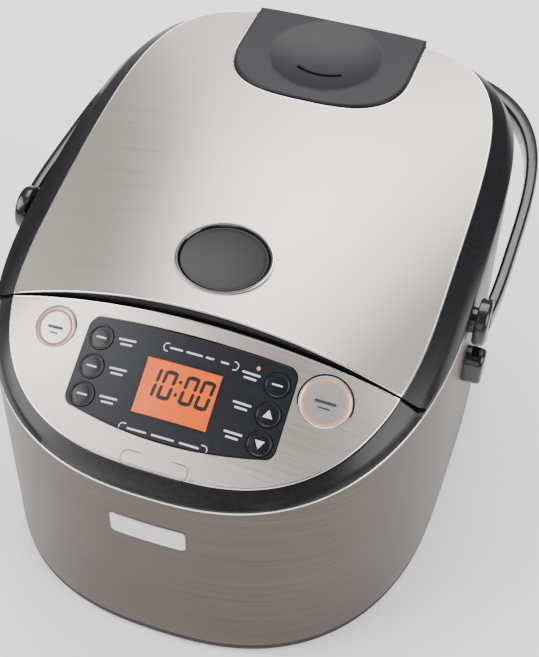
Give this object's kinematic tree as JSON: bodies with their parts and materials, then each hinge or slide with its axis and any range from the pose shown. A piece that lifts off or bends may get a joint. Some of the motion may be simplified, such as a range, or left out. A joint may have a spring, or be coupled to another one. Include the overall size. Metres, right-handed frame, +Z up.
{
  "type": "rice cooker",
  "caption": "Induction rice cooker with a hinged crowned lid, sloping control panel, swing handle, lift-out steam vent and inner pan.",
  "frame": {"origin": "on the surface the cooker stands on, below the middle of the whole object with its handle folded back", "axes": "+Z up; the control panel faces -Y and the hinge is at +Y; +X is the right-hand side seen from the front"},
  "size_m": [0.3168, 0.4086, 0.239],
  "materials": {
    "steel_skin": "satin, fine horizontal grain",
    "shell_steel": "brushed, darker taupe",
    "black_trim": "semi gloss black",
    "handle_black": "gloss black",
    "cap_grey": "satin dark grey",
    "button_grey": "satin dark grey",
    "inlay_black": "printed film, satin",
    "key_black": "embossed film, satin",
    "key_silver": "satin silver",
    "lcd_amber": "back-lit display window",
    "board_green": "solder mask",
    "white_plastic": "moulded heat-resistant plastic",
    "base_black": "textured black plastic",
    "rubber_black": "matt",
    "gasket_grey": "silicone",
    "aluminium_bare": "rolled sheet",
    "steel_hardware": "zinc plated",
    "copper_wire": "lacquered copper litz",
    "ferrite": "sintered",
    "pan_coating": "dark non-stick coating",
    "badge_silver": "brushed plate",
    "capacitor_blue": "sleeved cans"
  },
  "bodies": {
    "root": {"base_tray": "base_black", "rubber_feet": "rubber_black", "base_screws": "steel_hardware", "body_shell": "shell_steel", "body_deck": "black_trim", "control_bezel": "black_trim", "control_cover": "steel_skin", "display_inlay": "inlay_black", "display_window": "lcd_amber", "display_panel": "white_plastic", "control_board": "board_green", "tact_switches": "base_black", "well_liner": "aluminium_bare", "coil_bowl": "white_plastic", "induction_coil": "copper_wire", "ferrite_bars": "ferrite", "sensor_holder": "white_plastic", "sensor_spring": "steel_hardware", "power_board": "board_green", "heat_sink": "aluminium_bare", "power_parts": "capacitor_blue", "fan_frame": "base_black", "cord_reel_case": "white_plastic", "cord_outlet": "black_trim", "hinge_bracket": "steel_hardware", "hinge_pin": "steel_hardware", "lid_spring": "steel_hardware", "latch_keeper": "steel_hardware", "spatula_lugs": "handle_black", "handle_pivots": "handle_black", "inner_pan": "pan_coating", "front_badge": "badge_silver"},
    "lid": {"lid_skin": "steel_skin", "lid_frame": "black_trim", "lid_hinge_arms": "black_trim", "lid_under_cover": "base_black", "lid_heater": "aluminium_bare", "inner_lid": "aluminium_bare", "lid_gasket": "gasket_grey", "button_ring": "handle_black", "button_spring": "steel_hardware", "vent_socket": "base_black", "lid_screws": "steel_hardware"},
    "lid_button": {"lid_button": "button_grey"},
    "latch": {"latch_bolt": "white_plastic"},
    "steam_vent": {"vent_base": "white_plastic", "vent_gasket": "gasket_grey", "vent_cap": "cap_grey"},
    "handle": {"carry_handle": "handle_black"},
    "sensor": {"sensor_cap": "aluminium_bare"},
    "fan": {"fan_rotor": "base_black"},
    "cord_reel": {"cord_reel_drum": "white_plastic"},
    "key_cancel": {"key_cancel": "key_silver"},
    "key_start": {"key_start": "key_silver"},
    "key_menu": {"key_menu": "key_black"},
    "key_warm": {"key_warm": "key_black"},
    "key_extended": {"key_extended": "key_black"},
    "key_timer": {"key_timer": "key_black"},
    "key_up": {"key_up": "key_black"},
    "key_down": {"key_down": "key_black"}
  },
  "joints": [
    {"name": "lid_hinge", "type": "hinge", "parent": "root", "child": "lid", "pos_m": [0, 0.1508, 0.22065], "axis": [-1, 0, 0], "range_deg": [0, 80]},
    {"name": "lid_button_press", "type": "slide", "parent": "lid", "child": "lid_button", "axis": [0, 0.1639, -0.9865], "range_m": [0, 0.004], "stiffness_N_per_m": 1500, "springref_m": -0.001, "deforming": ["button_spring"]},
    {"name": "latch_slide", "type": "slide", "parent": "lid", "child": "latch", "axis": [0, 1, 0], "range_m": [0, 0.0046]},
    {"name": "vent_lift", "type": "slide", "parent": "lid", "child": "steam_vent", "axis": [0, 0, 1], "range_m": [0, 0.045]},
    {"name": "handle_hinge", "type": "hinge", "parent": "root", "child": "handle", "pos_m": [0, -0.0372, 0.18], "axis": [-1, 0, 0], "range_deg": [-95, 0]},
    {"name": "sensor_slide", "type": "slide", "parent": "root", "child": "sensor", "axis": [0, 0, -1], "range_m": [0, 0.003], "stiffness_N_per_m": 1000, "springref_m": -0.002, "deforming": ["sensor_spring"]},
    {"name": "fan_spin", "type": "hinge", "parent": "root", "child": "fan", "pos_m": [-0.045, -0.1524, 0.0065], "axis": [0, 0, 1], "continuous": true},
    {"name": "cord_reel_spin", "type": "hinge", "parent": "root", "child": "cord_reel", "pos_m": [-0.052, 0.1293, 0.078], "axis": [0, 1, 0], "continuous": true},
    {"name": "key_cancel_press", "type": "slide", "parent": "root", "child": "key_cancel", "axis": [0.1463, 0.5286, -0.8362], "range_m": [0, 0.0008], "stiffness_N_per_m": 1500, "springref_m": -0.0005},
    {"name": "key_start_press", "type": "slide", "parent": "root", "child": "key_start", "axis": [-0.1406, 0.529, -0.8369], "range_m": [0, 0.0008], "stiffness_N_per_m": 1500, "springref_m": -0.0005},
    {"name": "key_menu_press", "type": "slide", "parent": "root", "child": "key_menu", "axis": [0.0923, 0.5321, -0.8417], "range_m": [0, 0.0008], "stiffness_N_per_m": 1500, "springref_m": -0.0005},
    {"name": "key_warm_press", "type": "slide", "parent": "root", "child": "key_warm", "axis": [0.0708, 0.533, -0.8431], "range_m": [0, 0.0008], "stiffness_N_per_m": 1500, "springref_m": -0.0005},
    {"name": "key_extended_press", "type": "slide", "parent": "root", "child": "key_extended", "axis": [0.0498, 0.5337, -0.8442], "range_m": [0, 0.0008], "stiffness_N_per_m": 1500, "springref_m": -0.0005},
    {"name": "key_timer_press", "type": "slide", "parent": "root", "child": "key_timer", "axis": [-0.0923, 0.5321, -0.8417], "range_m": [0, 0.0008], "stiffness_N_per_m": 1500, "springref_m": -0.0005},
    {"name": "key_up_press", "type": "slide", "parent": "root", "child": "key_up", "axis": [-0.0708, 0.533, -0.8431], "range_m": [0, 0.0008], "stiffness_N_per_m": 1500, "springref_m": -0.0005},
    {"name": "key_down_press", "type": "slide", "parent": "root", "child": "key_down", "axis": [-0.0498, 0.5337, -0.8442], "range_m": [0, 0.0008], "stiffness_N_per_m": 1500, "springref_m": -0.0005}
  ],
  "couplings": [
    {"joint": "latch_slide", "follows": "lid_button_press", "ratio": 1.15}
  ]
}
